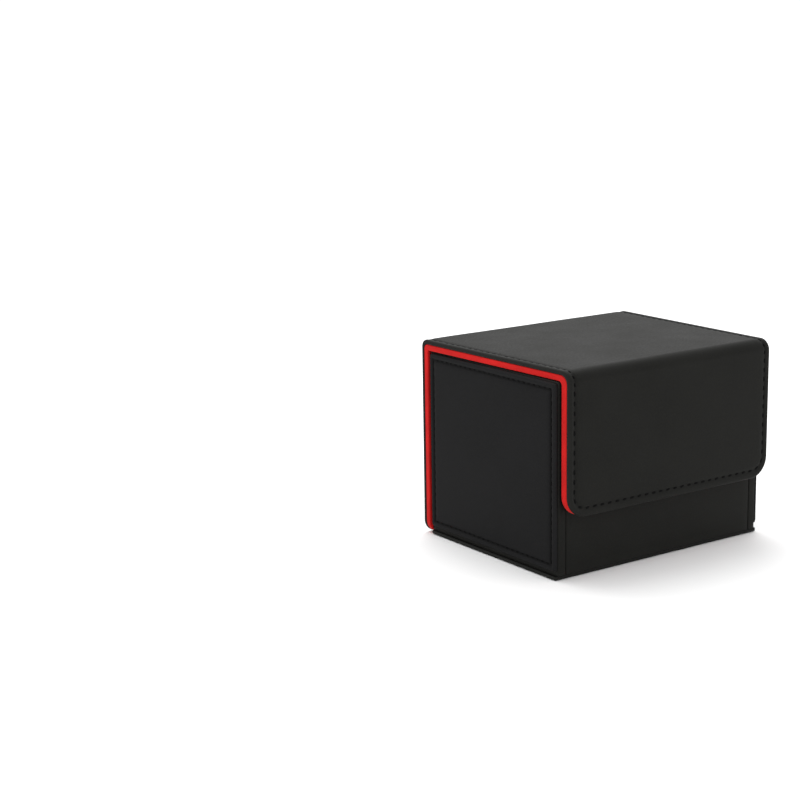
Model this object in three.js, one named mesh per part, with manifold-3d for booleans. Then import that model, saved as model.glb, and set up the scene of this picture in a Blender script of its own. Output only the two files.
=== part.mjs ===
// Flip-top card deck box: a leather-covered board box with a wrap of back panel, lid and front flap.
// Millimetres, +Z up. The origin is the middle of the footprint on the ground; the flap faces -Y.
// The box stands closed, with the lid level and the flap hanging in front.
import * as THREE from "three";
import { mergeVertices } from "three/addons/utils/BufferGeometryUtils.js";
import Module from "manifold-3d";

// Overall size. The wrap is widest at the back, and its lid narrows towards the flap.
const REAR_WIDTH = 126.5;
const FLAP_WIDTH = 122;
const DEPTH = 106;
const HEIGHT = 95;

// Sheet thicknesses
const SKIN = 0.8; // leather
const LINING_SKIN = 0.6; // red microfibre
const GLUE = 0.1; // clearance left for each glue line
const WALL_BOARD = 2;
const WALL_LINING = 1;

// The wrap: a black layer outside and a red layer inside, each with its own board
const BLACK_LAYER = 2.05;
const BLACK_BOARD = 1.05;
const RED_FROM = BLACK_LAYER + GLUE;
const BACK_RED = 2.65;
const LID_RED = 2.8;
const FLAP_RED = 3.55;
const BACK_WRAP = RED_FROM + BACK_RED;
const LID_WRAP = RED_FROM + LID_RED;
const FLAP_WRAP = RED_FROM + FLAP_RED;
const RED_INSET = 0.15; // the red layer stops short of the black edge
const FOLD_LENGTH = 9; // boards stop this far from each folded corner
const FRONT_FOLD_RADIUS = 5;
const REAR_FOLD_RADIUS = 2;
const BACK_CORNER_RADIUS = 6; // bottom corners
const FLAP_CORNER_RADIUS = 10;
const FLAP_LENGTH = 65.8;
const FLAP_BOTTOM = HEIGHT - FLAP_LENGTH;

// The body of the box
const BODY_HALF_WIDTH = 62.75;
const FLAP_REST_GAP = 1.5;
const LID_REST_GAP = 0.4;
const BODY_FRONT = -DEPTH / 2 + FLAP_WRAP + FLAP_REST_GAP;
const BODY_REAR = DEPTH / 2 - BACK_WRAP - 2 * GLUE;
const BODY_TOP = HEIGHT - LID_WRAP - LID_REST_GAP;
const BASE_THICKNESS = 1.6;
const BASE_SKIN = 0.5;
const BASE_BOARD = 1;
const FLOOR_BOARD = 1.5;
const BASE_CORNER_RADIUS = 2.5;
const WALL_CORNER_RADIUS = 1;
const SEAM_FROM_SIDE = 6; // the front seam lies this far in from each side
const SEAM_GAP = 0.25;

// The stitched panel on each side
const SIDE_PANEL = 1.5;
const SIDE_PANEL_BOARD = 0.65;
const SIDE_PANEL_FRONT_GAP = 0.3;
const SIDE_PANEL_REAR_GAP = 0.6;
const SIDE_PANEL_TOP_GAP = 0.6;
const SIDE_PANEL_BOTTOM = 3.8; // a recess is left between the panel and the base
const SIDE_PANEL_RADIUS = 1.5;

// Stitching
const THREAD_WIDTH = 0.7;
const THREAD_HEIGHT = 0.3;
const CHANNEL_WIDTH = 1;
const CHANNEL_DEPTH = 0.4;
const EDGE_STITCH_INSET = 3.2;
const HEM_STITCH_INSET = 4;
const STITCH_CORNER_INSET = 3.5; // how much tighter a seam turns than the corner outside it
const SIDE_STITCH_INSET = 3;

// Closing magnets
const MAGNET_RADIUS = 5;
const MAGNET_POCKET_RADIUS = 5.2;
const MAGNET_SPREAD = 35; // each side of the middle
const MAGNET_HEIGHT = 41;
const MAGNET_INSET = 0.1;

const ARC_STEPS = 8;
const DISC_SIDES = 32;
const REAR_HALF_WIDTH = REAR_WIDTH / 2;
const FLAP_HALF_WIDTH = FLAP_WIDTH / 2;
const HALF_DEPTH = DEPTH / 2;
const QUARTER = Math.PI / 2;

const wasm = await Module();
wasm.setup();

// ---- materials ----

const makeMaterial = (color, roughness, metalness = 0) => () =>
  new THREE.MeshStandardMaterial({ color, roughness, metalness });

const blackLeather = makeMaterial(0x242423, 0.55);
const sideLeather = makeMaterial(0x262627, 0.6);
const blackThread = makeMaterial(0x0f0f10, 0.8);
const redLining = makeMaterial(0xd2231f, 0.85);
const greyBoard = makeMaterial(0x8d8578, 0.95);
const magnetSteel = makeMaterial(0xb9bcc0, 0.3, 1);

// ---- solids ----

function toSolid(geometry) {
  const bare = geometry.clone();
  bare.deleteAttribute("normal");
  bare.deleteAttribute("uv");
  const merged = mergeVertices(bare, 1e-4);
  const vertProperties = new Float32Array(merged.attributes.position.array);
  const triVerts = new Uint32Array(merged.index.array);
  return new wasm.Manifold(new wasm.Mesh({ numProp: 3, vertProperties, triVerts }));
}

function toGeometry(solid) {
  const mesh = solid.getMesh();
  const indexed = new THREE.BufferGeometry();
  indexed.setAttribute("position", new THREE.BufferAttribute(mesh.vertProperties, 3));
  indexed.setIndex(new THREE.BufferAttribute(mesh.triVerts, 1));
  const faceted = indexed.toNonIndexed();
  faceted.computeVertexNormals();
  return faceted;
}

const cut = (geometry, ...tools) =>
  toGeometry(tools.reduce((solid, tool) => solid.subtract(toSolid(tool)), toSolid(geometry)));

const join = (geometry, ...others) =>
  toGeometry(others.reduce((solid, other) => solid.add(toSolid(other)), toSolid(geometry)));

// A block between two opposite corners.
function block(low, high) {
  const size = high.map((value, i) => value - low[i]);
  const middle = high.map((value, i) => (value + low[i]) / 2);
  return new THREE.BoxGeometry(...size).translate(...middle);
}

function extrude(shape, depth) {
  return new THREE.ExtrudeGeometry(shape, { depth, bevelEnabled: false, curveSegments: ARC_STEPS });
}

// An outline in (X, Z) given thickness along Y, between two depths.
function upright(shape, front, rear) {
  return extrude(shape, rear - front).rotateX(QUARTER).translate(0, rear, 0);
}

// An outline in (X, Y) given height along Z, between two heights.
function level(shape, bottom, top) {
  return extrude(shape, top - bottom).translate(0, 0, bottom);
}

// An outline in (Y, Z) given width along X, between two sides.
function crossways(shape, left, right) {
  const turn = new THREE.Matrix4().makeBasis(
    new THREE.Vector3(0, 1, 0),
    new THREE.Vector3(0, 0, 1),
    new THREE.Vector3(1, 0, 0),
  );
  return extrude(shape, right - left).applyMatrix4(turn).translate(left, 0, 0);
}

function polygon(points) {
  return new THREE.Shape(points.map(([x, y]) => new THREE.Vector2(x, y)));
}

// ---- outlines ----

// A sheet hanging from a straight top edge, with two round bottom corners.
function tongue(halfWidth, bottom, top, radius) {
  const shape = new THREE.Shape();
  shape.moveTo(-halfWidth, top);
  shape.lineTo(-halfWidth, bottom + radius);
  shape.absarc(-halfWidth + radius, bottom + radius, radius, Math.PI, 3 * QUARTER, false);
  shape.absarc(halfWidth - radius, bottom + radius, radius, 3 * QUARTER, 4 * QUARTER, false);
  shape.lineTo(halfWidth, top);
  shape.closePath();
  return shape;
}

// A U-shaped band of constant width, open at the top.
function seamBand(halfWidth, bottom, top, radius, width) {
  const half = width / 2;
  const outer = tongue(halfWidth + half, bottom - half, top, radius + half);
  const inner = tongue(halfWidth - half, bottom + half, top + 1, radius - half);
  return { outer, inner };
}

// A rectangle with round corners.
function roundedRectangle(left, bottom, right, top, radius) {
  const shape = new THREE.Shape();
  shape.absarc(left + radius, bottom + radius, radius, Math.PI, 3 * QUARTER, false);
  shape.absarc(right - radius, bottom + radius, radius, 3 * QUARTER, 4 * QUARTER, false);
  shape.absarc(right - radius, top - radius, radius, 0, QUARTER, false);
  shape.absarc(left + radius, top - radius, radius, QUARTER, Math.PI, false);
  shape.closePath();
  return shape;
}

function withRoundHoles(shape, centres, radius) {
  for (const [x, y] of centres) {
    const hole = new THREE.Path();
    hole.absarc(x, y, radius, 0, 2 * Math.PI, false);
    shape.holes.push(hole);
  }
  return shape;
}

// ---- scene graph ----

const deckBox = new THREE.Group();
const body = new THREE.Group();
const lid = new THREE.Group();
const flap = new THREE.Group();
deckBox.add(body, lid, flap);

function place(group, name, geometry, material) {
  const mesh = new THREE.Mesh(geometry, material());
  mesh.name = name;
  group.add(mesh);
}

// A disc magnet, its axis along Y.
function disc(x, z, front, rear) {
  return new THREE.CylinderGeometry(MAGNET_RADIUS, MAGNET_RADIUS, rear - front, DISC_SIDES)
    .translate(x, (front + rear) / 2, z);
}

// A U-shaped seam or its channel on an upright panel.
function uprightSeam({ halfWidth, bottom, corner }, top, width, front, rear) {
  const { outer, inner } = seamBand(
    halfWidth - EDGE_STITCH_INSET,
    bottom + HEM_STITCH_INSET,
    top,
    corner - STITCH_CORNER_INSET,
    width,
  );
  return cut(upright(outer, front, rear), upright(inner, front - 1, rear + 1));
}

// ---- base ----

function addBase() {
  const left = -BODY_HALF_WIDTH;
  const pocketLeft = left + SKIN;
  const boardLeft = pocketLeft + GLUE;
  const outline = roundedRectangle(left, BODY_FRONT, -left, BODY_REAR, BASE_CORNER_RADIUS);
  const pocket = block(
    [pocketLeft, BODY_FRONT + SKIN, BASE_SKIN],
    [-pocketLeft, BODY_REAR - SKIN, BASE_THICKNESS + 1],
  );
  place(body, "base_cover", cut(level(outline, 0, BASE_THICKNESS), pocket), blackLeather);
  const boardBottom = BASE_SKIN + GLUE / 2;
  const board = block(
    [boardLeft, BODY_FRONT + SKIN + GLUE, boardBottom],
    [-boardLeft, BODY_REAR - SKIN - GLUE, boardBottom + BASE_BOARD],
  );
  place(body, "base_board", board, greyBoard);
}

// ---- walls ----

const WALL_BOTTOM = BASE_THICKNESS + GLUE;
const WALL_BOARD_TOP = BODY_TOP - SKIN - GLUE;
const CAP_BOTTOM = BODY_TOP - SKIN;
const FLOOR_TOP = WALL_BOTTOM + FLOOR_BOARD;
const FLOOR_LINING_TOP = FLOOR_TOP + GLUE + WALL_LINING;
const WALL_LINING_BOTTOM = FLOOR_LINING_TOP + GLUE;
const LINING_TOP = BODY_TOP - GLUE;

// Distances out from the middle to each layer of a side wall
const SKIN_OUT = BODY_HALF_WIDTH - SIDE_PANEL - GLUE;
const BOARD_OUT = SKIN_OUT - SKIN - GLUE;
const BOARD_IN = BOARD_OUT - WALL_BOARD;
const LINING_OUT = BOARD_IN - GLUE;
const LINING_IN = LINING_OUT - WALL_LINING;
const SEAM_OUT = BODY_HALF_WIDTH - SEAM_FROM_SIDE;

// Depths of each layer of the front and rear walls
const FRONT_BOARD_OUT = BODY_FRONT + SKIN + GLUE;
const FRONT_BOARD_IN = FRONT_BOARD_OUT + WALL_BOARD;
const FRONT_LINING_OUT = FRONT_BOARD_IN + GLUE;
const FRONT_LINING_IN = FRONT_LINING_OUT + WALL_LINING;
const REAR_BOARD_IN = BODY_REAR - GLUE - WALL_BOARD;
const REAR_LINING_OUT = REAR_BOARD_IN - GLUE;
const REAR_LINING_IN = REAR_LINING_OUT - WALL_LINING;

// The leather of a side wall: a skin, round the front corner, and a strip folded onto the front.
function sideWallOutline(side) {
  const points = [
    [SKIN_OUT, BODY_REAR],
    [SKIN_OUT - SKIN, BODY_REAR],
    [SKIN_OUT - SKIN, BODY_FRONT + SKIN],
    [SEAM_OUT, BODY_FRONT + SKIN],
    [SEAM_OUT, BODY_FRONT],
  ];
  for (let i = 0; i <= ARC_STEPS; i++) {
    const angle = (i / ARC_STEPS) * QUARTER;
    points.push([
      SKIN_OUT - WALL_CORNER_RADIUS * (1 - Math.sin(angle)),
      BODY_FRONT + WALL_CORNER_RADIUS * (1 - Math.cos(angle)),
    ]);
  }
  return polygon(points.map(([out, y]) => [side * out, y]));
}

// A block of a side wall, given by its distances out from the middle.
function sideBlock(side, outs, depths, heights) {
  const xs = outs.map((out) => side * out).sort((a, b) => a - b);
  return block([xs[0], depths[0], heights[0]], [xs[1], depths[1], heights[1]]);
}

function addSideWall(name, side) {
  const skin = level(sideWallOutline(side), WALL_BOTTOM, BODY_TOP);
  const cap = sideBlock(
    side,
    [BOARD_IN, SKIN_OUT - SKIN / 2],
    [BODY_FRONT + SKIN / 2, BODY_REAR],
    [CAP_BOTTOM, BODY_TOP],
  );
  place(body, `${name}_wall_cover`, join(skin, cap), blackLeather);
  const board = sideBlock(
    side,
    [BOARD_IN, BOARD_OUT],
    [FRONT_BOARD_OUT, BODY_REAR - GLUE],
    [WALL_BOTTOM, WALL_BOARD_TOP],
  );
  place(body, `${name}_wall_board`, board, greyBoard);
  const lining = sideBlock(
    side,
    [LINING_IN, LINING_OUT],
    [FRONT_LINING_IN + GLUE, REAR_LINING_IN - GLUE],
    [WALL_LINING_BOTTOM, LINING_TOP],
  );
  place(body, `${name}_wall_lining`, lining, redLining);
}

function addFrontWall() {
  const coverHalf = SEAM_OUT - SEAM_GAP;
  const skin = block([-coverHalf, BODY_FRONT, WALL_BOTTOM], [coverHalf, BODY_FRONT + SKIN, BODY_TOP]);
  const half = BOARD_IN - GLUE;
  const cap = block([-coverHalf, BODY_FRONT, CAP_BOTTOM], [coverHalf, FRONT_BOARD_IN, BODY_TOP]);
  const capEnds = block([-half, FRONT_BOARD_OUT, CAP_BOTTOM], [half, FRONT_BOARD_IN, BODY_TOP]);
  place(body, "front_wall_cover", join(skin, cap, capEnds), blackLeather);

  const centres = [-MAGNET_SPREAD, MAGNET_SPREAD].map((x) => [x, MAGNET_HEIGHT]);
  const outline = polygon([
    [-half, WALL_BOTTOM],
    [half, WALL_BOTTOM],
    [half, WALL_BOARD_TOP],
    [-half, WALL_BOARD_TOP],
  ]);
  const drilled = withRoundHoles(outline, centres, MAGNET_POCKET_RADIUS);
  place(body, "front_wall_board", upright(drilled, FRONT_BOARD_OUT, FRONT_BOARD_IN), greyBoard);
  for (const [x, z] of centres) {
    const magnet = disc(x, z, FRONT_BOARD_OUT + MAGNET_INSET, FRONT_BOARD_IN - MAGNET_INSET);
    place(body, `wall_magnet_${x < 0 ? "left" : "right"}`, magnet, magnetSteel);
  }
  const lining = block([-half, FRONT_LINING_OUT, WALL_LINING_BOTTOM], [half, FRONT_LINING_IN, LINING_TOP]);
  place(body, "front_wall_lining", lining, redLining);
}

function addRearWall() {
  const half = BOARD_IN - GLUE;
  const board = block([-half, REAR_BOARD_IN, WALL_BOTTOM], [half, BODY_REAR - GLUE, WALL_BOARD_TOP]);
  place(body, "rear_wall_board", board, greyBoard);
  const sheet = block([-half, REAR_LINING_IN, WALL_LINING_BOTTOM], [half, REAR_LINING_OUT, BODY_TOP]);
  const turnedOver = block([-half, REAR_LINING_IN, CAP_BOTTOM], [half, BODY_REAR, BODY_TOP]);
  place(body, "rear_wall_lining", join(sheet, turnedOver), redLining);
}

function addFloor() {
  const half = BOARD_IN - GLUE;
  const board = block(
    [-half, FRONT_BOARD_IN + GLUE, WALL_BOTTOM],
    [half, REAR_BOARD_IN - GLUE, FLOOR_TOP],
  );
  place(body, "floor_board", board, greyBoard);
  const lining = block(
    [-half, FRONT_LINING_OUT, FLOOR_TOP + GLUE],
    [half, REAR_LINING_OUT, FLOOR_LINING_TOP],
  );
  place(body, "floor_lining", lining, redLining);
}

// ---- stitched side panels ----

// A frame-shaped seam or its channel around a side panel, between two distances out.
function sideSeam(panel, width, side, outs) {
  const [front, bottom, rear, top] = panel;
  const away = SIDE_STITCH_INSET - width / 2;
  const within = SIDE_STITCH_INSET + width / 2;
  const frame = roundedRectangle(front + away, bottom + away, rear - away, top - away, 1 + width / 2);
  frame.holes.push(
    roundedRectangle(front + within, bottom + within, rear - within, top - within, 1 - width / 2),
  );
  const xs = outs.map((out) => side * out).sort((a, b) => a - b);
  return crossways(frame, ...xs);
}

function addSidePanel(name, side) {
  const panel = [
    BODY_FRONT + SIDE_PANEL_FRONT_GAP,
    SIDE_PANEL_BOTTOM,
    BODY_REAR - SIDE_PANEL_REAR_GAP,
    BODY_TOP - SIDE_PANEL_TOP_GAP,
  ];
  const outer = BODY_HALF_WIDTH;
  const inner = outer - SIDE_PANEL;
  const xs = [side * inner, side * outer].sort((a, b) => a - b);
  const plate = crossways(roundedRectangle(...panel, SIDE_PANEL_RADIUS), ...xs);
  const pocket = sideBlock(
    side,
    [inner - 1, outer - SKIN + GLUE],
    [panel[0] + SKIN, panel[2] - SKIN],
    [panel[1] + SKIN, panel[3] - SKIN],
  );
  const channel = sideSeam(panel, CHANNEL_WIDTH, side, [outer - CHANNEL_DEPTH, outer + 1]);
  place(body, `${name}_side_panel`, cut(plate, pocket, channel), sideLeather);

  const inset = SKIN + GLUE;
  const board = sideBlock(
    side,
    [inner, inner + SIDE_PANEL_BOARD - GLUE],
    [panel[0] + inset, panel[2] - inset],
    [panel[1] + inset, panel[3] - inset],
  );
  place(body, `${name}_side_panel_board`, board, greyBoard);
  const floor = outer - CHANNEL_DEPTH + GLUE / 2;
  const thread = sideSeam(panel, THREAD_WIDTH, side, [floor, floor + THREAD_HEIGHT]);
  place(body, `${name}_side_thread`, thread, blackThread);
}

// ---- wrap panels ----

// Layer depths measured in from the wrap's outer face
const BLACK_BOARD_FROM = SKIN + GLUE;
const RED_BOARD_FROM = RED_FROM + GLUE / 2;
const THREAD_FROM = CHANNEL_DEPTH - GLUE / 2 - THREAD_HEIGHT;
const BOARD_LESS_THAN_RED = LINING_SKIN + GLUE;
const LID_RED_BOARD = LID_RED - BOARD_LESS_THAN_RED;
const RED_POCKET_INSET = RED_INSET + SKIN;
const FOLD_START = HALF_DEPTH - FOLD_LENGTH;

const BACK = {
  halfWidth: REAR_HALF_WIDTH,
  bottom: 0,
  corner: BACK_CORNER_RADIUS,
  red: BACK_RED,
  face: HALF_DEPTH,
  inward: -1,
};
const FLAP = {
  halfWidth: FLAP_HALF_WIDTH,
  bottom: FLAP_BOTTOM,
  corner: FLAP_CORNER_RADIUS,
  red: FLAP_RED,
  face: -HALF_DEPTH,
  inward: 1,
};

// An upright wrap panel with round bottom corners. Its face is the outer one, and inward is a way along Y.
function addTongue(group, name, panel, magnets = []) {
  const { halfWidth, bottom, corner, red, face, inward } = panel;
  const top = HEIGHT - FOLD_LENGTH;
  const between = (from, to) => [face + inward * from, face + inward * to].sort((a, b) => a - b);
  const slab = (shape, from, to) => upright(shape, ...between(from, to));
  const seam = (width, from, to) => uprightSeam(panel, top, width, ...between(from, to));
  // The outline, moved in by an inset. A pocket's outline runs on past the fold.
  const outline = (inset, over = 0) =>
    tongue(halfWidth - inset, bottom + inset, top + over, corner - inset);

  const cover = cut(
    slab(outline(0), 0, BLACK_LAYER),
    slab(outline(SKIN, 1), SKIN, BLACK_LAYER + 1),
    seam(CHANNEL_WIDTH, -1, CHANNEL_DEPTH),
  );
  place(group, `${name}_cover`, cover, blackLeather);
  const board = slab(outline(SKIN + GLUE), BLACK_BOARD_FROM, BLACK_BOARD_FROM + BLACK_BOARD);
  place(group, `${name}_board`, board, greyBoard);

  const lining = cut(
    slab(outline(RED_INSET), RED_FROM, RED_FROM + red),
    slab(outline(RED_POCKET_INSET, 1), RED_FROM - 1, RED_FROM + red - LINING_SKIN),
  );
  place(group, `${name}_lining`, lining, redLining);
  const liningBoard = withRoundHoles(outline(RED_POCKET_INSET + GLUE), magnets, MAGNET_POCKET_RADIUS);
  place(
    group,
    `${name}_lining_board`,
    slab(liningBoard, RED_BOARD_FROM, RED_BOARD_FROM + red - BOARD_LESS_THAN_RED),
    greyBoard,
  );
  place(group, `${name}_thread`, seam(THREAD_WIDTH, THREAD_FROM, THREAD_FROM + THREAD_HEIGHT), blackThread);
}

// Half the lid's width at a depth y: it narrows from the rear fold to the front fold.
function lidHalfWidth(y) {
  const share = (y + FOLD_START) / (2 * FOLD_START);
  return FLAP_HALF_WIDTH + share * (REAR_HALF_WIDTH - FLAP_HALF_WIDTH);
}

function addLid() {
  // A strip between two insets from the lid's edges, over its length or a little past both folded ends.
  const strip = (outs, from, to, over = 0) => {
    const front = -FOLD_START - over;
    const rear = FOLD_START + over;
    const corners = outs.map(([side, inset]) => (y) => [side * (lidHalfWidth(y) - inset), y]);
    const outline = polygon([corners[0](front), corners[1](front), corners[1](rear), corners[0](rear)]);
    return level(outline, HEIGHT - to, HEIGHT - from);
  };
  const slab = (inset, from, to, over) => strip([[-1, inset], [1, inset]], from, to, over);
  const line = (side, width, from, to, over) => {
    const insets = [EDGE_STITCH_INSET - width / 2, EDGE_STITCH_INSET + width / 2];
    const outs = insets.map((inset) => [side, inset]);
    return strip(side < 0 ? outs : outs.reverse(), from, to, over);
  };

  const cover = cut(
    slab(0, 0, BLACK_LAYER),
    slab(SKIN, SKIN, BLACK_LAYER + 1, 1),
    line(-1, CHANNEL_WIDTH, -1, CHANNEL_DEPTH, 1),
    line(1, CHANNEL_WIDTH, -1, CHANNEL_DEPTH, 1),
  );
  place(lid, "lid_cover", cover, blackLeather);
  const board = slab(SKIN + GLUE, BLACK_BOARD_FROM, BLACK_BOARD_FROM + BLACK_BOARD);
  place(lid, "lid_board", board, greyBoard);

  const lining = cut(
    slab(RED_INSET, RED_FROM, LID_WRAP),
    slab(RED_POCKET_INSET, RED_FROM - 1, LID_WRAP - LINING_SKIN, 1),
  );
  place(lid, "lid_lining", lining, redLining);
  const liningBoard = slab(RED_POCKET_INSET + GLUE, RED_BOARD_FROM, RED_BOARD_FROM + LID_RED_BOARD);
  place(lid, "lid_lining_board", liningBoard, greyBoard);
  for (const [name, side] of [["left", -1], ["right", 1]]) {
    const thread = line(side, THREAD_WIDTH, THREAD_FROM, THREAD_FROM + THREAD_HEIGHT);
    place(lid, `lid_thread_${name}`, thread, blackThread);
  }
}

// ---- folds ----

// One surface of a folded corner, from the upright panel to the lid, at a depth below each outer face.
function foldLine(uprightDepth, lidDepth, radius) {
  const steps = radius > 0 ? ARC_STEPS : 0;
  const points = [[HALF_DEPTH - uprightDepth, HEIGHT - FOLD_LENGTH + GLUE]];
  for (let i = 0; i <= steps; i++) {
    const angle = steps ? (i / steps) * QUARTER : 0;
    points.push([
      HALF_DEPTH - uprightDepth - radius * (1 - Math.cos(angle)),
      HEIGHT - lidDepth - radius * (1 - Math.sin(angle)),
    ]);
  }
  points.push([FOLD_START + GLUE, HEIGHT - lidDepth]);
  return points;
}

// One folded layer at the front (side -1) or the rear (side +1), between two surfaces.
function foldLayer(side, halfWidth, outer, inner) {
  const outline = polygon([...outer, ...inner.reverse()].map(([y, z]) => [side * y, z]));
  return crossways(outline, -halfWidth, halfWidth);
}

function addFold(group, name, { halfWidth, red, inward }, radius) {
  const side = -inward;
  const blackOuter = foldLine(0, 0, radius);
  const blackInner = foldLine(BLACK_LAYER, BLACK_LAYER, Math.max(radius - BLACK_LAYER, 0));
  place(group, `${name}_fold_cover`, foldLayer(side, halfWidth, blackOuter, blackInner), blackLeather);
  const redOuter = foldLine(RED_FROM, RED_FROM, Math.max(radius - RED_FROM, 0));
  const redInner = foldLine(RED_FROM + red, LID_WRAP, 0);
  place(group, `${name}_fold_lining`, foldLayer(side, halfWidth - RED_INSET, redOuter, redInner), redLining);
}

// ---- flap magnets ----

function addFlapMagnets(centres) {
  const front = -HALF_DEPTH + RED_BOARD_FROM + MAGNET_INSET;
  const rear = -HALF_DEPTH + RED_BOARD_FROM + FLAP_RED - BOARD_LESS_THAN_RED - MAGNET_INSET;
  for (const [x, z] of centres) {
    place(flap, `flap_magnet_${x < 0 ? "left" : "right"}`, disc(x, z, front, rear), magnetSteel);
  }
}

// ---- assembly ----

const flapMagnets = [-MAGNET_SPREAD, MAGNET_SPREAD].map((x) => [x, MAGNET_HEIGHT]);

addBase();
addSideWall("left", -1);
addSideWall("right", 1);
addFrontWall();
addRearWall();
addFloor();
addSidePanel("left", -1);
addSidePanel("right", 1);
addTongue(body, "back", BACK);
addFold(body, "rear", BACK, REAR_FOLD_RADIUS);
addLid();
addFold(lid, "front", FLAP, FRONT_FOLD_RADIUS);
addTongue(flap, "flap", FLAP, flapMagnets);
addFlapMagnets(flapMagnets);

export default deckBox;
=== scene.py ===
"""Card deck box: the leather, lining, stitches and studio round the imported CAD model.

Lengths are in millimetres while the meshes are worked out, and in metres in the scene.
"""
import math

import bmesh
import bpy
import numpy as np
from mathutils import Matrix, Vector, noise


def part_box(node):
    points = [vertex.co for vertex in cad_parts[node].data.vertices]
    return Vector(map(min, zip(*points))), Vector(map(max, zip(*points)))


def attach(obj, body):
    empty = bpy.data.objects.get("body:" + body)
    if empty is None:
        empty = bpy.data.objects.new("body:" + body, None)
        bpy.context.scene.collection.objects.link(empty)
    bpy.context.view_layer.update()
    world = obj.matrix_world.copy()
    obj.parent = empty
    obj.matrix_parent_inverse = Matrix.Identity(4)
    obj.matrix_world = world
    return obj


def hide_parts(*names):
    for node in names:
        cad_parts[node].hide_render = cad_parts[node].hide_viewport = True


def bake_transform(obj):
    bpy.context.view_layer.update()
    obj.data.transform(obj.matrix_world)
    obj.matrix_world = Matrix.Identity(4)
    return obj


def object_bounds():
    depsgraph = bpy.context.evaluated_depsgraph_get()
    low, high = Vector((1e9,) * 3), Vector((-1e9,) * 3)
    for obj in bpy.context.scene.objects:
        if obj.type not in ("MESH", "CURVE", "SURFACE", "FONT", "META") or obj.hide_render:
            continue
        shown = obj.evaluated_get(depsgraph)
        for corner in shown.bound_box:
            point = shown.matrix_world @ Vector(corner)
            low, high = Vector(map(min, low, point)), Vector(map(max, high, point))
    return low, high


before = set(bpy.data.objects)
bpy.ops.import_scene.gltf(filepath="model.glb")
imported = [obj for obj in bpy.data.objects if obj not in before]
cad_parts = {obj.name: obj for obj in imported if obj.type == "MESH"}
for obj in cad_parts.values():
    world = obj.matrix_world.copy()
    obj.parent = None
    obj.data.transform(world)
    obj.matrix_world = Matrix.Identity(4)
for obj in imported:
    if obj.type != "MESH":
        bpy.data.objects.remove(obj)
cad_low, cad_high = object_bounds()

MM = 0.001


def box_mm(node):
    low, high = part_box(node)
    return np.array(low) / MM, np.array(high) / MM


def size_mm(node):
    low, high = box_mm(node)
    return high - low


# ---- sizes read from the CAD model ----

HEIGHT = cad_high.z / MM
HALF_DEPTH = cad_high.y / MM
REAR_HALF = box_mm("back_cover")[1][0]
FLAP_HALF = box_mm("flap_cover")[1][0]
FLAP_LENGTH = HEIGHT - box_mm("flap_cover")[0][2]
FOLD = HALF_DEPTH - box_mm("lid_cover")[1][1]
BLACK = size_mm("back_cover")[1]
RED_FROM = HALF_DEPTH - box_mm("back_lining")[1][1]
BACK_RED = size_mm("back_lining")[1]
FLAP_RED = size_mm("flap_lining")[1]
LID_RED = size_mm("lid_lining")[2]
BODY_LOW, BODY_HIGH = box_mm("base_cover")

# ---- sizes of the soft goods ----

BACK_CORNER = 6.0  # bottom corners of the back
FLAP_CORNER = 10.0  # bottom corners of the flap
CORNER_REACH = 12.0  # how far from a corner its bent rows and columns begin
FOLD_REACH = 8.0  # how far from a fold's corner its dense rows begin
REAR_FOLD_RADIUS = 3.4  # of the black layer's outer face
FRONT_FOLD_RADIUS = 5.3
FOLD_TIGHTENING = 0.6  # how fast a fold's radius falls with depth
LEAST_FOLD_RADIUS = 0.45
RED_INSET = 0.15  # the red layer stops short of the black edge
STITCH_INSET = 3.2
HEM_EXTRA = 0.8  # the stitches lie this much further in along the bottom edges
STITCH_PITCH = 4.35
STITCH_SHARE = 0.64  # the thread's share of the pitch; the rest is the gap
THREAD_WIDTH = 1.0
THREAD_HEIGHT = 0.5
THREAD_DEPTH = 0.36  # of a thread's middle below the face that it is sewn through
INNER_GRID = 7.4  # how far in from its edge a wrap sheet's plain grid starts
PANEL_THICKNESS = 1.5
PANEL_CORNER = 1.5
PANEL_STITCH_INSET = 3.0
PANEL_STITCH_PITCH = 3.6
PANEL_THREAD_WIDTH = 0.6
PANEL_THREAD_DEPTH = 0.44
BASE_INSET = 0.25  # the base leather's outline lies this far inside the CAD piece's
BASE_CORNER = 1.2
WALL_SKIN = 0.8  # thickness of the body's leather at the front
SEAM_GAP = 0.25  # between the front wall's leather and the strip beside it

# ---- how the meshes are divided and how uneven they are ----

WAVE_SIZE = 26.0  # length of the slow waves in leather over board
SWELL_BIAS = 0.9  # sheets swell outwards more than they dip
SHEET_STEP = 3.4
FOLD_STEP = 0.45
CORNER_STEPS = 20
PLATE_CORNER_STEPS = 12
PRISM_STEP = 4.0
SHARP_ANGLE = 40.0

# Along the wrap, t runs up the back, over the lid and down the flap.
REAR_CORNER_T = HEIGHT
FRONT_CORNER_T = HEIGHT + 2 * HALF_DEPTH
SEAM_T = REAR_CORNER_T + FOLD  # between the back's sheet and the lid's
END_T = FRONT_CORNER_T + FLAP_LENGTH


# ---- meshes from grids ----

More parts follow.
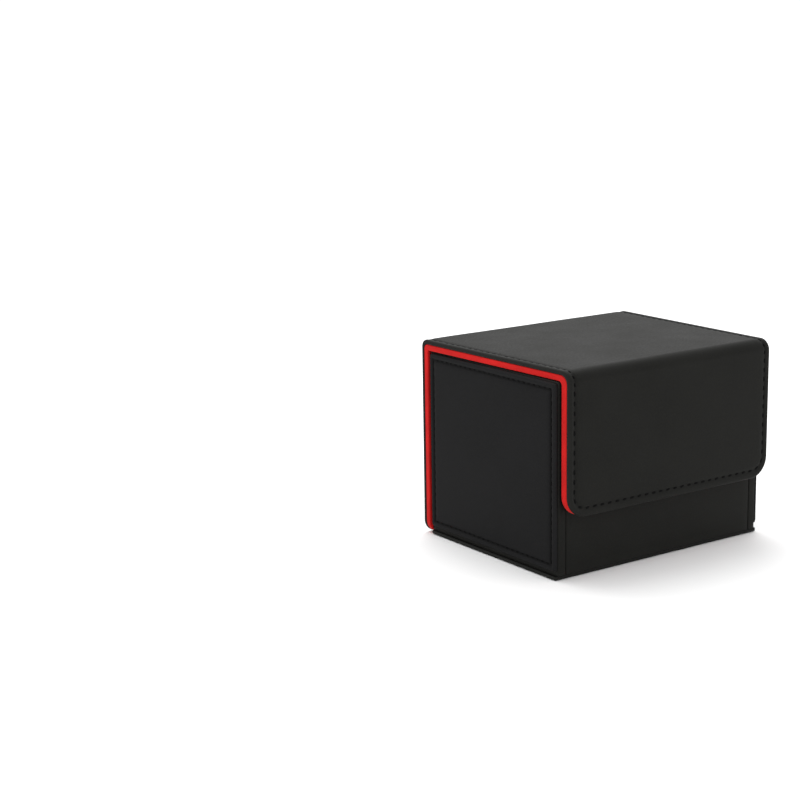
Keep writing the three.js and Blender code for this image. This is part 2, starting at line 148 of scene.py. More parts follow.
class Shape:
    """Grids of quads and odd faces, welded into one closed mesh. Each point has a place, a place in its flat
    sheet for the grain, and a share of edge wear and painted light: above 0 it is paler, partly rubbed wear
    and partly a painted highlight; below 0 it is painted shade."""

    def __init__(self):
        self.points, self.flat, self.wear, self.faces = [], [], [], []
        self.count = 0

    def add(self, points, flat, wear):
        points = np.asarray(points, float).reshape(-1, 3)
        self.points.append(points)
        self.flat.append(np.broadcast_to(np.asarray(flat, float).reshape(-1, 3), points.shape))
        self.wear.append(np.broadcast_to(np.asarray(wear, float).reshape(-1), len(points)))
        first = self.count
        self.count += len(points)
        return first

    def grid(self, points, flat, wear=0.0, closed=False):
        """Quads through rows and columns of points; closed joins the last column to the first."""
        rows, columns = points.shape[:2]
        index = self.add(points, flat, wear) + np.arange(rows * columns).reshape(rows, columns)
        if closed:
            index = np.concatenate([index, index[:, :1]], 1)
        corners = [index[:-1, :-1], index[1:, :-1], index[1:, 1:], index[:-1, 1:]]
        self.faces += np.stack(corners, -1).reshape(-1, 4).tolist()

    def face(self, points, flat, wear=0.0):
        first = self.add(points, flat, wear)
        self.faces.append(list(range(first, self.count)))

    def build(self, name, material):
        shape = bmesh.new()
        flat_layer = shape.verts.layers.float_vector.new("flat_place")
        wear_layer = shape.verts.layers.float.new("edge_wear")
        flat = np.concatenate(self.flat) * MM
        wear = np.concatenate(self.wear)
        verts = []
        for i, point in enumerate(np.concatenate(self.points) * MM):
            vert = shape.verts.new(point)
            vert[flat_layer] = Vector(flat[i])
            vert[wear_layer] = wear[i]
            verts.append(vert)
        for face in self.faces:
            shape.faces.new([verts[i] for i in face])
        bmesh.ops.remove_doubles(shape, verts=shape.verts, dist=2e-6)
        bmesh.ops.dissolve_degenerate(shape, edges=shape.edges, dist=1e-7)
        bmesh.ops.recalc_face_normals(shape, faces=shape.faces)
        mesh = bpy.data.meshes.new(name)
        shape.to_mesh(mesh)
        shape.free()
        mesh.shade_smooth()
        mesh.set_sharp_from_angle(angle=math.radians(SHARP_ANGLE))
        mesh.materials.append(material)
        made = bpy.data.objects.new(name, mesh)
        bpy.context.scene.collection.objects.link(made)
        return made


def spaced(start, end, step):
    """Even values from start to end, both ends included, about one step apart."""
    return np.linspace(start, end, max(2, int(round(abs(end - start) / step)) + 1))


def resample(points, steps):
    """The path through (x, y) points, divided into that many equal steps."""
    lengths = np.concatenate([[0], np.cumsum(np.linalg.norm(np.diff(points, axis=0), axis=1))])
    at = np.linspace(0, lengths[-1], steps + 1)
    return np.stack([np.interp(at, lengths, points[:, k]) for k in range(2)], 1)


def corner(inset_x, inset_y, radius, reach, steps, square):
    """The way round a corner at (0, 0), from its upright side to its level side, moved in by the insets."""
    if square:
        half = steps // 2
        down = np.stack([np.full(half, inset_x), np.linspace(reach, inset_y, half, endpoint=False)], 1)
        along = np.stack([np.linspace(inset_x, reach, half + 1), np.full(half + 1, inset_y)], 1)
        return np.concatenate([down, along])
    radius_x = max(radius - inset_x, 0.05)
    radius_y = max(radius - inset_y, 0.05)
    turn = np.linspace(0, math.pi / 2, 25)
    arc = np.stack([inset_x + radius_x * (1 - np.cos(turn)), inset_y + radius_y * (1 - np.sin(turn))], 1)
    return resample(np.concatenate([[(inset_x, reach)], arc, [(reach, inset_y)]]), steps)


def waves(x, y, seed):
    """Slow, slight unevenness of leather over board, from -1 to 1."""
    flat = np.stack([np.ravel(x), np.ravel(y)], 1)
    values = [noise.noise(Vector((a / WAVE_SIZE, b / WAVE_SIZE, seed))) for a, b in flat]
    return np.array(values).reshape(np.shape(x))


# ---- the wrap ----

def half_width(t):
    """Half the wrap's width at t: it narrows over the lid."""
    start, end = SEAM_T, FRONT_CORNER_T - FOLD
    return REAR_HALF + (FLAP_HALF - REAR_HALF) * np.clip((t - start) / (end - start), 0, 1)


def folded(t, upright_depth, lid_depth):
    """(y, z) of the place t along the wrap, at its depths below the uprights' and the lid's outer faces."""
    rear = t < (REAR_CORNER_T + FRONT_CORNER_T) / 2
    past = np.where(rear, t - REAR_CORNER_T, FRONT_CORNER_T - t)
    fold_radius = np.where(rear, REAR_FOLD_RADIUS, FRONT_FOLD_RADIUS)
    radius = np.maximum(fold_radius - FOLD_TIGHTENING * (upright_depth + lid_depth) / 2, LEAST_FOLD_RADIUS)
    up = FOLD_REACH - lid_depth - radius
    arc = radius * math.pi / 2
    total = up + arc + FOLD_REACH - upright_depth - radius
    run = (np.clip(past, -FOLD_REACH, FOLD_REACH) / FOLD_REACH + 1) / 2 * total
    angle = np.clip((run - up) / radius, 0, math.pi / 2)
    y = HALF_DEPTH - upright_depth - radius * (1 - np.cos(angle)) - np.maximum(run - up - arc, 0)
    z = HEIGHT - FOLD_REACH + np.minimum(run, up) + radius * np.sin(angle)
    y = y - np.maximum(past - FOLD_REACH, 0)
    z = z + np.minimum(past + FOLD_REACH, 0)
    return np.where(rear, y, -y), z


class Layer:
    """One layer of the wrap: how deep it starts, and its thickness on the uprights and on the lid."""

    def __init__(self, start, upright, lid):
        self.start, self.upright, self.lid = start, upright, lid

    def place(self, x, t, share, extra):
        y, z = folded(t, self.start + share * self.upright + extra, self.start + share * self.lid + extra)
        return np.stack([x * np.ones_like(y), y, z], -1)


class Tongue:
    """A sheet with two round corners at its free end, open at the other. s runs from the free end."""

    def __init__(self, free_t, open_t, radius):
        self.free_t = free_t
        self.way = 1 if open_t > free_t else -1
        self.length = abs(open_t - free_t)
        self.half = float(half_width(np.array(free_t)))
        self.radius = radius
        fold = abs((REAR_CORNER_T if self.way > 0 else FRONT_CORNER_T) - free_t)
        self.side = np.unique(np.concatenate([
            spaced(CORNER_REACH, fold - FOLD_REACH, SHEET_STEP),
            spaced(fold - FOLD_REACH, fold + FOLD_REACH, FOLD_STEP),
            spaced(fold + FOLD_REACH, self.length, SHEET_STEP),
        ]).round(6))[::-1]
        self.hem = spaced(-self.half + CORNER_REACH, self.half - CORNER_REACH, SHEET_STEP)[1:-1]

    def hem_inset(self, inset):
        """The inset along the hem: the same at the edge, and HEM_EXTRA more at the stitches."""
        return inset + HEM_EXTRA * min(max((inset - 1.5) / (STITCH_INSET - 1.5), 0), 1)

    def edge(self, inset, square=False):
        """The edge moved in by inset, from the open end's left round to its right: (x, s) points."""
        hem = self.hem_inset(inset)
        side = np.stack([np.full(len(self.side) - 1, -self.half + inset), self.side[:-1]], 1)
        turn = corner(inset, hem, self.radius, CORNER_REACH, CORNER_STEPS, square) - (self.half, 0)
        left = np.concatenate([side, turn])
        level = np.stack([self.hem, np.full(len(self.hem), hem)], 1)
        return np.concatenate([left, level, left[::-1] * (-1, 1)])

    def t(self, s):
        """The place along the wrap, s from the free end."""
        return self.free_t + self.way * s

    def x(self, x, s):
        """The place across the wrap, which narrows over the lid."""
        return x * half_width(self.t(s)) / self.half


def wrap_sheet(name, tongue, layer, profile, material, seed, swell):
    """A closed sheet over a tongue. profile holds (inset, share of thickness, extra depth, wear and painted
    light) from the outer face round the edge to the inner face, and starts and ends at the inner grid."""
    shape = Shape()

    def place(x, s, share, extra):
        x, t = tongue.x(x, s), tongue.t(s)
        inward = np.clip((np.minimum(tongue.half - np.abs(x), s) - STITCH_INSET) / 12, 0, 1)
        unevenness = swell * inward * (waves(x, t, seed) - SWELL_BIAS) * np.where(share < 0.5, 1, -1)
        depth = layer.start + share * layer.upright + extra
        return layer.place(x, t, share, extra + unevenness), np.stack([x, t, depth + 0 * x], -1)

    paths = [tongue.edge(inset, i in (0, len(profile) - 1)) for i, (inset, *_) in enumerate(profile)]
    path = np.stack(paths, 1)
    share, extra, wear = (np.array([row[k] for row in profile]) for k in (1, 2, 3))
    ones = np.ones(path.shape[:2])
    points, flat = place(path[..., 0], path[..., 1], share * ones, extra * ones)
    shape.grid(points, flat, wear * ones)

    turn = len(tongue.side) - 1 + CORNER_STEPS // 2
    ends = []
    for k in (0, -1):
        ring = paths[k]
        rows, columns = ring[: turn + 1, 1], ring[turn : len(ring) - turn, 0]
        x, s = np.meshgrid(columns, rows)
        inner, inner_flat = place(x, s, np.full(x.shape, share[k]), np.full(x.shape, extra[k]))
        shape.grid(inner, inner_flat)
        ends.append((inner[0], inner_flat[0]))
    left, right = points[0], points[-1]
    rim = np.concatenate([left, ends[1][0][1:-1], right[::-1], ends[0][0][::-1][1:-1]])
    rim_flat = np.concatenate([flat[0], ends[1][1][1:-1], flat[-1][::-1], ends[0][1][::-1][1:-1]])
    shape.face(rim, rim_flat)
    return shape.build(name, material)


def rounded_edge(inset, radius, inner_radius, steps=6):
    """The part of a profile that turns from the outer face round the edge to the inner face. Its wear,
    paler over the outer rounding, is partly rubbed wear and partly a painted highlight.
    """
    outer, inner = [], []
    for i in range(steps + 1):
        turn = i / steps * math.pi / 2
        in_by, down_by = 1 - math.sin(turn), 1 - math.cos(turn)
        # outer rows: paler over the rounding, partly rubbed wear and partly a painted highlight on the edge
        outer.append((inset + radius * in_by, 0, radius * down_by, 0.15 + 0.4 * math.sin(2 * turn)))
        inner.append((inset + inner_radius * down_by, 1, -inner_radius * in_by, 0.3))
    return outer + inner


def channel_profile(middle, depth, spread, sign=1, share=0, shade=0.3):
    """The rows of a sunk stitch line, from its inner side to its outer side. Each row of its section is a
    place across it, a share of its depth, and wear and painted light. Negative values are painted shade that
    darkens its floor, by shade at most; the small positive ones on its outer side are partly rubbed wear and
    partly a painted highlight."""
    section = [
        (2.9, 0.02, 0), (1.9, 0.10, 0), (1.2, 0.3, 0), (0.75, 0.62, -0.5), (0.4, 0.93, -1),
        (0, 1, -1), (-0.4, 0.9, -1), (-0.75, 0.5, -0.3), (-1.15, 0.16, 0.15), (-1.6, 0, 0.15),
    ]
    rows = []
    for across, down, wear in section:
        # wear below 0 is painted shade in the channel's floor, scaled by shade
        wear = wear if wear > 0 else wear * shade
        rows.append((middle + across * spread, share, sign * depth * down, wear))
    return rows


# ---- stitches ----

def stitch_row(shape, path, place, pitch, lift, width=THREAD_WIDTH):
    """Separate stitches of twisted thread along a flat path of (x, s) points. place(x, s, depth) gives
    points in space, and lift is how deep the middle of each thread lies. Each stitch slants a little, and
    tapers and dips at its ends."""
    lengths = np.concatenate([[0], np.cumsum(np.linalg.norm(np.diff(path, axis=0), axis=1))])
    count = max(1, int(round(lengths[-1] / pitch)))
    step = lengths[-1] / count
    along = np.linspace(-0.5, 0.5, 11)
    around = np.linspace(0, 2 * math.pi, 10, endpoint=False)
    slants = 0.1 + 0.07 * np.random.default_rng(count).standard_normal(count)
    for i in range(count):
        run = (i + 0.5 + along * STITCH_SHARE) * step
        middle = np.stack([np.interp(run, lengths, path[:, k]) for k in range(2)], 1)
        way = np.gradient(middle, axis=0)
        way /= np.linalg.norm(way, axis=1)[:, None]
        across = np.stack([-way[:, 1], way[:, 0]], 1)
        middle = middle + across * (2 * along * slants[i])[:, None]
        taper = np.sqrt(np.clip(1 - (2 * np.abs(along)) ** 5, 0.03, 1))
        strand = 1 + 0.09 * np.cos(2 * around[None] - 14 * along[:, None])
        reach = width / 2 * taper[:, None] * strand
        height = THREAD_HEIGHT / 2 * taper[:, None] * strand
        xs = middle[:, :1] + across[:, :1] * np.cos(around) * reach
        ss = middle[:, 1:] + across[:, 1:] * np.cos(around) * reach
        dip = 0.55 * (2 * np.abs(along[:, None])) ** 4
        depth = lift + dip - np.sin(around) * height
        points = place(xs, ss, depth)
        flat = np.stack([xs, ss, depth], -1)
        shape.grid(points, flat, closed=True)
        shape.face(points[0], flat[0])
        shape.face(points[-1], flat[-1])


# ---- plates: panels and linings with round edges ----

def plate(shape, size, radius, profile, place, seed, swell, step=3.6):
    """A closed panel of that size, centred on (0, 0). place(x, y, depth) gives points in space. profile holds
    (inset, depth, wear and painted light) from the outer face round the edge to the inner face."""
    half_x, half_y = size[0] / 2, size[1] / 2
    reach = max(radius, profile[0][0], profile[-1][0]) + 1.2
    steps = PLATE_CORNER_STEPS
    columns = spaced(-half_x + reach, half_x - reach, step)[1:-1]
    rows = spaced(half_y - reach, -half_y + reach, step)[1:-1]

    def ring(inset, square):
        turn = corner(inset, inset, radius, reach, steps, square) - (half_x, half_y)
        bottom = np.stack([columns, np.full(len(columns), inset - half_y)], 1)
        right = np.stack([np.full(len(rows), half_x - inset), rows[::-1]], 1)
        lower = np.concatenate([turn, bottom, turn[::-1] * (-1, 1), right])
        return np.concatenate([lower, -turn, -bottom, -turn[::-1] * (-1, 1), -right])

    def at(x, y, depth):
        inward = np.clip((np.minimum(half_x - np.abs(x), half_y - np.abs(y)) - 1) / 9, 0, 1)
        outer = np.where(depth < profile[-1][1] / 2, 1, 0)
        uneven = swell * inward * (waves(x, y, seed) - SWELL_BIAS) * outer
        return place(x, y, depth + uneven), np.stack([x, y, depth + 0 * x], -1)

    insets, depths, wear = (np.array([row[k] for row in profile], float) for k in range(3))
    path = np.stack([ring(a, i in (0, len(insets) - 1)) for i, a in enumerate(insets)], 0)
    points, flat = at(path[..., 0], path[..., 1], depths[:, None] * np.ones(path.shape[:2]))
    shape.grid(points, flat, wear[:, None] * np.ones(path.shape[:2]), closed=True)
    half = steps // 2
    for k in (0, -1):
        turn = corner(insets[k], insets[k], radius, reach, steps, True) - (half_x, half_y)
        xs = np.concatenate([turn[half:, 0], columns, -turn[half:, 0][::-1]])
        ys = np.concatenate([turn[: half + 1, 1][::-1], rows[::-1], -turn[: half + 1, 1]])
        x, y = np.meshgrid(xs, ys)
        inner, inner_flat = at(x, y, np.full(x.shape, depths[k]))
        shape.grid(inner, inner_flat)


def plate_rows(rows, thickness):
    """A wrap sheet's profile rows (inset, share, extra, wear) as a plate's rows (inset, depth, wear); the
    wear is partly painted light.
    """
    return [(inset, share * thickness + extra, wear) for inset, share, extra, wear in rows]


# ---- prisms: an outline swept straight, with round rims ----

def prism(name, outline, low, high, rims, turn, material, seed, swell=0.03):
    """outline holds (a, b) points in order; turn(a, b, c) puts them in space, with c from low to high.
    rims are the edge radii at low and high. Each of rows is (inset, c, wear and painted light)."""
    outline = np.array(outline, float)
    ways = np.roll(outline, -1, 0) - np.roll(outline, 1, 0)
    ways /= np.linalg.norm(ways, axis=1)[:, None]
    area = np.sum(outline[:, 0] * np.roll(outline[:, 1], -1) - np.roll(outline[:, 0], -1) * outline[:, 1])
    inward = np.stack([-ways[:, 1], ways[:, 0]], 1) * np.sign(area)
    turns = np.linspace(math.pi / 2, 0, 5)
    # the rims are paler: partly rubbed wear, partly a painted highlight
    rows = [(rims[0] * (1 - math.cos(at)), low + rims[0] * (1 - math.sin(at)), 0.35) for at in turns]
    rows += [(0, c, 0) for c in spaced(low + rims[0], high - rims[1], PRISM_STEP)[1:-1]]
    rows += [(rims[1] * (1 - math.cos(at)), high - rims[1] * (1 - math.sin(at)), 0.35) for at in turns[::-1]]
    insets, heights, wears = (np.array(column)[:, None] for column in zip(*rows))
    a = outline[None, :, 0] + inward[None, :, 0] * insets
    b = outline[None, :, 1] + inward[None, :, 1] * insets
    c = heights * np.ones_like(a)
    girth = np.concatenate([[0], np.cumsum(np.linalg.norm(np.diff(outline, axis=0), axis=1))])
    push = swell * waves(girth[None] + 0 * c, c, seed)
    a, b = a + inward[None, :, 0] * push, b + inward[None, :, 1] * push
    points = turn(a, b, c)
    flat = np.stack([girth[None] + 0 * c, c, 0 * c], -1)
    shape = Shape()
    shape.grid(points, flat, wears * np.ones_like(a), closed=True)
    shape.face(points[0], np.stack([a[0], b[0], c[0]], -1), 0.2)
    shape.face(points[-1], np.stack([a[-1], b[-1], c[-1]], -1), 0.2)
    return shape.build(name, material)


def rounded(corners):
    """An outline through (a, b, radius) corners, with arcs at the round ones and points along long sides."""
    points = []
    count = len(corners)
    for i, (a, b, radius) in enumerate(corners):
        here = np.array([a, b])
        before = np.array(corners[i - 1][:2]) - here
        after = np.array(corners[(i + 1) % count][:2]) - here
        before, after = before / np.linalg.norm(before), after / np.linalg.norm(after)
        if radius <= 0:
            points.append(here)
            continue
        for share in np.linspace(0, 1, 6):
            turn = share * math.pi / 2
            back_by, on_by = radius * (1 - math.sin(turn)), radius * (1 - math.cos(turn))
            points.append(here + before * back_by + after * on_by)
    filled = []
    for i, point in enumerate(points):
        following = points[(i + 1) % len(points)]
        pieces = max(1, int(np.linalg.norm(following - point) / PRISM_STEP))
        filled += [point + (following - point) * k / pieces for k in range(pieces)]
    return filled


# ---- materials ----

class Nodes:
    """A short way to write a material's nodes."""

    def __init__(self, name):
        self.material = bpy.data.materials.new(name)
        self.material.use_nodes = True
        self.tree = self.material.node_tree
        self.shader = self.tree.nodes["Principled BSDF"]

    def add(self, kind, settings=None, **inputs):
        node = self.tree.nodes.new("ShaderNode" + kind)
        for key, value in (settings or {}).items():
            setattr(node, key, value)
        for key, value in inputs.items():
            self.set(node, key.replace("_", " "), value)
        return node

    def set(self, node, key, value):
        socket = node.inputs[int(key) if key.isdigit() else key]
        if isinstance(value, bpy.types.NodeSocket):
            self.tree.links.new(value, socket)
        else:
            socket.default_value = value

    def own_place(self):
        """Where a pattern is read on a CAD node or the floor: the object's own space."""
        return self.add("TexCoord").outputs["Object"]

    def sheet_place(self):
        """Where a pattern is read on a made piece: its flat sheet."""
        return self.attribute("flat_place", "Vector")

    def attribute(self, name, output):
        return self.add("Attribute", {"attribute_name": name}).outputs[output]

    def stretched(self, place, scale):
        return self.add("Mapping", Vector=place, Scale=scale).outputs["Vector"]

    def noise(self, place, scale, detail=2.0, roughness=0.5):
        node = self.add("TexNoise", Vector=place, Scale=scale, Detail=detail, Roughness=roughness)
        return node.outputs["Fac"]

    def cells(self, place, scale, feature="F1"):
        return self.add("TexVoronoi", {"feature": feature}, Vector=place, Scale=scale).outputs["Distance"]

    def math(self, operation, a, b):
        node = self.add("Math", {"operation": operation})
        self.set(node, "0", a)
        self.set(node, "1", b)
        return node.outputs[0]

    def ranged(self, value, low, high, to_low, to_high):
        """The value's range from low to high, stretched to the one from to_low to to_high."""
        node = self.add("MapRange")
        for key, entry in zip("01234", (value, low, high, to_low, to_high)):
            self.set(node, key, entry)
        return node.outputs[0]

    def mixed(self, share, first, second):
        node = self.add("Mix", {"data_type": "RGBA"})
        self.set(node, "0", share)
        self.set(node, "6", (*first, 1) if isinstance(first, tuple) else first)
        self.set(node, "7", (*second, 1) if isinstance(second, tuple) else second)
        return node.outputs[2]

    def bump(self, height, strength, distance, normal=None):
        node = self.add("Bump", Height=height, Strength=strength, Distance=distance)
        if normal is not None:
            self.set(node, "Normal", normal)
        return node.outputs["Normal"]

    def finish(self, **inputs):
        for key, value in inputs.items():
            self.set(self.shader, key.replace("_", " "), value)
        return self.material


STITCH_SHADOW = (0.002, 0.002, 0.002)


def leather(name, dark, light, worn_and_highlight, cell_scale, rough, gloss):
    """Smooth coated leather: a fine pebbled grain, slow changes of tone, paler edges that are partly rubbed
    wear and partly a painted highlight, and painted shade in the stitch channels.
    """
    n = Nodes(name)
    place = n.sheet_place()
    tone = n.noise(place, 38, 4, 0.6)
    speck = n.noise(place, 900, 3, 0.6)
    cells = n.cells(place, cell_scale)
    creases = n.ranged(n.cells(place, cell_scale, "DISTANCE_TO_EDGE"), 0, 0.18, 0, 1)
    colour = n.mixed(n.ranged(tone, 0.3, 0.7, 0, 1), dark, light)
    colour = n.mixed(n.ranged(speck, 0.45, 0.8, 0, 0.35), colour, worn_and_highlight)
    rub_and_painted_light = n.attribute("edge_wear", "Fac")
    # paler where the edge wear is above 0: partly rubbed wear, partly a painted highlight
    rubbed_and_highlit = n.math("MULTIPLY", n.ranged(rub_and_painted_light, 0, 1, 0, 1), n.ranged(tone, 0.25, 0.75, 0.35, 0.8))
    colour = n.mixed(rubbed_and_highlit, colour, worn_and_highlight)
    # painted shade in the stitch channels, where the edge wear is below 0
    colour = n.mixed(n.ranged(rub_and_painted_light, 0, -1, 0, 1), colour, STITCH_SHADOW)
    fine = n.ranged(speck, 0.3, 0.7, rough - 0.05, rough + 0.06)
    roughness = n.math("ADD", fine, n.ranged(tone, 0.3, 0.7, -0.04, 0.04))
    pebbles = n.math("SUBTRACT", n.math("MULTIPLY", creases, 0.6), n.math("MULTIPLY", cells, 0.5))
    normal = n.bump(tone, 0.16, 0.00025)
    normal = n.bump(pebbles, 0.35, 0.00006, normal)
    normal = n.bump(speck, 0.25, 0.00003, normal)
    return n.finish(Base_Color=colour, Roughness=roughness, Normal=normal, Specular_IOR_Level=gloss)


def microfibre(name, dark, light):
    """Brushed red lining: a soft nap with streaks, a short pile and pressed, darker places."""
    n = Nodes(name)
    place = n.sheet_place()
    nap = n.noise(n.stretched(place, (1.0, 0.35, 1.0)), 260, 4, 0.65)
    patches = n.noise(place, 34, 3, 0.5)
    pile = n.noise(place, 3800, 2, 0.7)
    colour = n.mixed(n.ranged(nap, 0.35, 0.68, 0, 1), dark, light)
    colour = n.mixed(n.ranged(patches, 0.4, 0.7, 0, 0.3), colour, dark)
    roughness = n.ranged(nap, 0.3, 0.7, 0.72, 0.9)
    normal = n.bump(pile, 0.45, 0.00008)
    normal = n.bump(nap, 0.25, 0.00012, normal)
    n.finish(Sheen_Weight=0.12, Sheen_Roughness=0.4, Sheen_Tint=(1, 0.45, 0.4, 1))
    return n.finish(Base_Color=colour, Roughness=roughness, Normal=normal, Specular_IOR_Level=0.08)


def thread(name, dark, light):
    """Waxed black thread: plies that lean across its length."""
    n = Nodes(name)
    place = n.sheet_place()
    fibres = n.noise(n.stretched(place, (1, 1, 3)), 5200, 3, 0.6)
    tone = n.noise(place, 420, 2)
    colour = n.mixed(n.ranged(tone, 0.3, 0.7, 0, 1), dark, light)
    roughness = n.ranged(fibres, 0.3, 0.7, 0.6, 0.8)
    normal = n.bump(fibres, 0.6, 0.00008)
    return n.finish(Base_Color=colour, Roughness=roughness, Normal=normal, Specular_IOR_Level=0.06)


def card(name, dark, light):
    """Grey board: flecks and fibres pressed flat."""
    n = Nodes(name)
    fleck = n.noise(n.own_place(), 650, 4, 0.7)
    colour = n.mixed(n.ranged(fleck, 0.35, 0.7, 0, 1), dark, light)
    roughness = n.ranged(fleck, 0.3, 0.7, 0.82, 0.95)
    return n.finish(Base_Color=colour, Roughness=roughness, Normal=n.bump(fleck, 0.35, 0.0001))


def plated(name, clean, stained):
    """Nickel-plated magnet: fine turning marks and faint stains."""
    n = Nodes(name)
    place = n.own_place()
    marks = n.noise(n.stretched(place, (1, 0.05, 1)), 2600, 2)
    stain = n.noise(place, 240, 3)
    colour = n.mixed(n.ranged(stain, 0.4, 0.7, 0, 1), clean, stained)
    roughness = n.ranged(marks, 0.3, 0.7, 0.22, 0.36)
    return n.finish(Base_Color=colour, Metallic=1.0, Roughness=roughness, Normal=n.bump(marks, 0.1, 0.00005))


black = leather(
    "black_leather", dark=(0.008, 0.008, 0.007), light=(0.0108, 0.0108, 0.0095), worn_and_highlight=(0.02, 0.02, 0.0185),
    cell_scale=1350, rough=0.52, gloss=0.067)
side_black = leather(
    "side_leather", dark=(0.008, 0.008, 0.0082), light=(0.0108, 0.0108, 0.0112), worn_and_highlight=(0.019, 0.019, 0.02),
    cell_scale=1500, rough=0.54, gloss=0.034)
red = microfibre("red_microfibre", (0.44, 0.009, 0.0085), (0.58, 0.014, 0.0125))
stitching = thread("black_thread", (0.0014, 0.0014, 0.0014), (0.0035, 0.0035, 0.0035))
board = card("grey_board", (0.2, 0.17, 0.135), (0.34, 0.3, 0.25))
nickel = plated("nickel_plate", (0.62, 0.62, 0.63), (0.48, 0.47, 0.46))

# ---- the wrap's sheets ----

BLACK_SEED, RED_SEED = 1.3, 7.7  # one for each layer, so that its two sheets meet alike at the seam

back_tongue = Tongue(0.0, SEAM_T, BACK_CORNER)
flap_tongue = Tongue(END_T, SEAM_T, FLAP_CORNER)
black_layer = Layer(0.0, BLACK, BLACK)
back_red = Layer(RED_FROM, BACK_RED, LID_RED)
flap_red = Layer(RED_FROM, FLAP_RED, LID_RED)

black_profile = (
    [(INNER_GRID, 0, 0, 0)]
    + channel_profile(STITCH_INSET, depth=0.42, spread=1.0, shade=0.12)
    + rounded_edge(0, radius=1.1, inner_radius=0.5)
    + [(1.4, 1, 0, 0), (3.6, 1, 0, 0), (INNER_GRID, 1, 0, 0)]
)
red_profile = (
    [(INNER_GRID, 0, 0, 0), (3.6, 0, 0, 0), (1.6, 0, 0, 0)]
    + rounded_edge(RED_INSET, radius=0.45, inner_radius=0.5)
    + [(1.7, 1, 0, 0.1)]
    + channel_profile(STITCH_INSET, depth=0.35, spread=1.0, sign=-1, share=1)[::-1]
    + [(INNER_GRID, 1, 0, 0)]
)


def bend_rear(piece, *nodes):
    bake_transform(piece)
    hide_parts(*nodes)


def bend_front(piece, *nodes):
    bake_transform(piece)
    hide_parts(*nodes)


def black_sheet(name, tongue):
    return wrap_sheet(name, tongue, black_layer, black_profile, black, BLACK_SEED, 0.06)


def red_sheet(name, tongue, layer):
    return wrap_sheet(name, tongue, layer, red_profile, red, RED_SEED, 0.05)


bend_rear(black_sheet("back_leather", back_tongue), "back_cover", "rear_fold_cover")
bend_front(black_sheet("lid_and_flap_leather", flap_tongue), "lid_cover", "front_fold_cover", "flap_cover")
bend_rear(red_sheet("back_red_lining", back_tongue, back_red), "back_lining", "rear_fold_lining")
bend_front(red_sheet("lid_and_flap_red_lining", flap_tongue, flap_red),
           "lid_lining", "front_fold_lining", "flap_lining")


def wrap_stitches(name, tongue, *faces):
    """A row round the tongue on each face, which is a layer, the face's share of its thickness, and the
    sign of going into it."""
    shape = Shape()
    path = tongue.edge(STITCH_INSET)
    for layer, share, sign in faces:
        def place(x, s, depth):
            return layer.place(tongue.x(x, s), tongue.t(s), share, sign * depth)
        stitch_row(shape, path, place, STITCH_PITCH, THREAD_DEPTH)
    return shape.build(name, stitching)


outer_face = (black_layer, 0, 1)
red_face = (flap_red, 1, -1)
bend_rear(wrap_stitches("back_stitches", back_tongue, outer_face), "back_thread")
bend_front(wrap_stitches("lid_and_flap_stitches", flap_tongue, outer_face, red_face),
           "lid_thread_left", "lid_thread_right", "flap_thread")

# ---- side panels ----


def on_box(piece, *nodes):
    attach(piece, "box")
    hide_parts(*nodes)


def panel_profile():
    inner_grid = 6.6
    rows = channel_profile(PANEL_STITCH_INSET, depth=0.5, spread=0.9, shade=0.6)
    rows += rounded_edge(0, radius=1.25, inner_radius=0.2)
    inner_face = [(2.5, PANEL_THICKNESS, 0), (inner_grid, PANEL_THICKNESS, 0)]
    return [(inner_grid, 0, 0)] + plate_rows(rows, PANEL_THICKNESS) + inner_face


def side_panel(name, side):
    """The stitched panel on one side, which is -1 on the left and 1 on the right."""
    low, high = box_mm(f"{name}_side_panel")
    middle, size = (low + high) / 2, high - low
    outer = side * max(abs(low[0]), abs(high[0]))

    def place(a, b, depth):
        return np.stack([outer - side * depth, middle[1] + a, middle[2] + b], -1)

    shape = Shape()
    plate(shape, size[1:], PANEL_CORNER, panel_profile(), place, 12.5 + side, 0.1)
    on_box(shape.build(f"{name}_stitched_panel", side_black), f"{name}_side_panel")

    half = size[1:] / 2 - PANEL_STITCH_INSET
    turn = corner(0, 0, 1.0, 3.0, 8, False) - half
    lower = np.concatenate([turn, turn[::-1] * (-1, 1)])
    loop = np.concatenate([lower, -lower, lower[:1]])
    stitches = Shape()
    stitch_row(stitches, loop, place, PANEL_STITCH_PITCH, PANEL_THREAD_DEPTH, PANEL_THREAD_WIDTH)
    on_box(stitches.build(f"{name}_panel_stitches", stitching), f"{name}_side_thread")


side_panel("left", -1)
side_panel("right", 1)

# ---- the body's leather ----

WALL_RIMS = (0.2, 0.7)
FRONT_LOW, FRONT_HIGH = box_mm("front_wall_cover")
WALL_LOW, WALL_HIGH = box_mm("left_wall_cover")
STRIP_IN = -WALL_HIGH[0]  # half the front's width between the strips that the side walls fold onto it


def upward(a, b, c):
    return np.stack([a, b, c], -1)


def sideways(a, b, c):
    return np.stack([c, a, b], -1)


def base_leather():
    (left, front, bottom), (right, rear, top) = BODY_LOW, BODY_HIGH
    left, right = left + BASE_INSET, right - BASE_INSET
    front, rear = front + BASE_INSET, rear - BASE_INSET
    corners = [(x, y, BASE_CORNER) for x, y in ((left, front), (right, front), (right, rear), (left, rear))]
    return prism("base_leather", rounded(corners), bottom, top, (0.45, 0.3), upward, black,
                 3.3)


